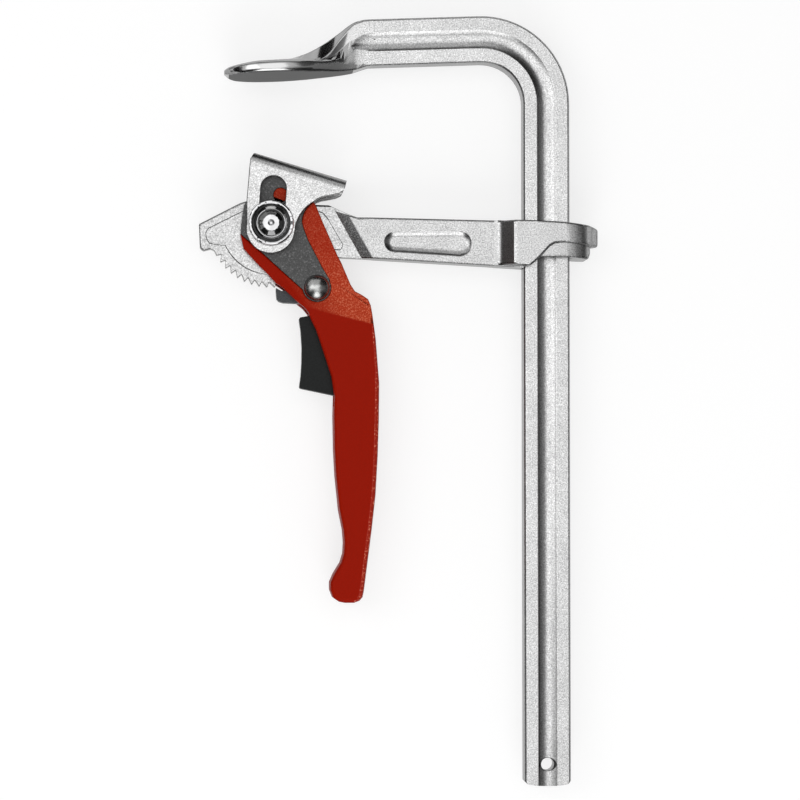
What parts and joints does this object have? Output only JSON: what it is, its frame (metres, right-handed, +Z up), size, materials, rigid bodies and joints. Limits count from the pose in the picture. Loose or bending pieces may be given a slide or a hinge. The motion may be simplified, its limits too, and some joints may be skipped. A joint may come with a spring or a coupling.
{
  "type": "ratchet f-clamp",
  "caption": "All-steel lever clamp: a bent rail with a fixed oval jaw, a sliding arm with ratchet teeth, and a red cam lever that lifts a folded pressure pad.",
  "frame": {"origin": "centre of the clamp's outline, on the surface it lies on", "axes": "+Y along the rail towards the fixed jaw, +X from the pressure pad's side to the rail, +Z up through the thickness of the clamp"},
  "size_m": [0.2038, 0.392, 0.037],
  "materials": {
    "blasted_steel": "blasted and bright zinc plated",
    "forged_steel": "forged, blasted and bright zinc plated",
    "red_coating": "semi-gloss red coating",
    "dark_steel": "matt phosphated",
    "sintered_steel": "matt, oiled black",
    "black_plastic": "fine matt",
    "bright_steel": "polished"
  },
  "bodies": {
    "rail": {"rail_frame": "blasted_steel"},
    "arm": {"sliding_arm": "forged_steel"},
    "lever": {"lever_handle": "red_coating", "cam_plate_front": "dark_steel", "cam_plate_rear": "dark_steel", "pawl_pin": "bright_steel", "trigger_spring": "bright_steel"},
    "pawl_unit": {"pawl": "sintered_steel", "trigger": "black_plastic", "trigger_pin": "bright_steel"},
    "pivot": {"pivot_pin": "bright_steel", "cup_washer_front": "bright_steel", "cup_washer_rear": "bright_steel"},
    "pad": {"pressure_pad": "blasted_steel"}
  },
  "joints": [
    {"name": "arm_slide", "type": "slide", "parent": "rail", "child": "arm", "axis": [0, 1, 0], "range_m": [-0.25, 0.03]},
    {"name": "lever_swing", "type": "hinge", "parent": "arm", "child": "lever", "pos_m": [-0.06555, 0.0888, 0.0185], "axis": [0, 0, 1], "range_deg": [-57.6, 0]},
    {"name": "pawl_release", "type": "hinge", "parent": "lever", "child": "pawl_unit", "pos_m": [-0.04233, 0.0566, 0.0185], "axis": [0, 0, 1], "range_deg": [-8, 2.5], "stiffness_Nm_per_rad": 0.25, "springref_deg": -11.46, "deforming": ["trigger_spring"]},
    {"name": "pad_swivel", "type": "hinge", "parent": "arm", "child": "pivot", "pos_m": [-0.06555, 0.0888, 0.0185], "axis": [0, 0, 1], "range_deg": [0, 20]},
    {"name": "pad_lift", "type": "slide", "parent": "pivot", "child": "pad", "axis": [0.0732, 0.9973, 0], "range_m": [-0.0086, 0]}
  ],
  "couplings": [
    {"joint": "pad_lift", "follows": "lever_swing", "m_per_rad": 0.0085}
  ]
}
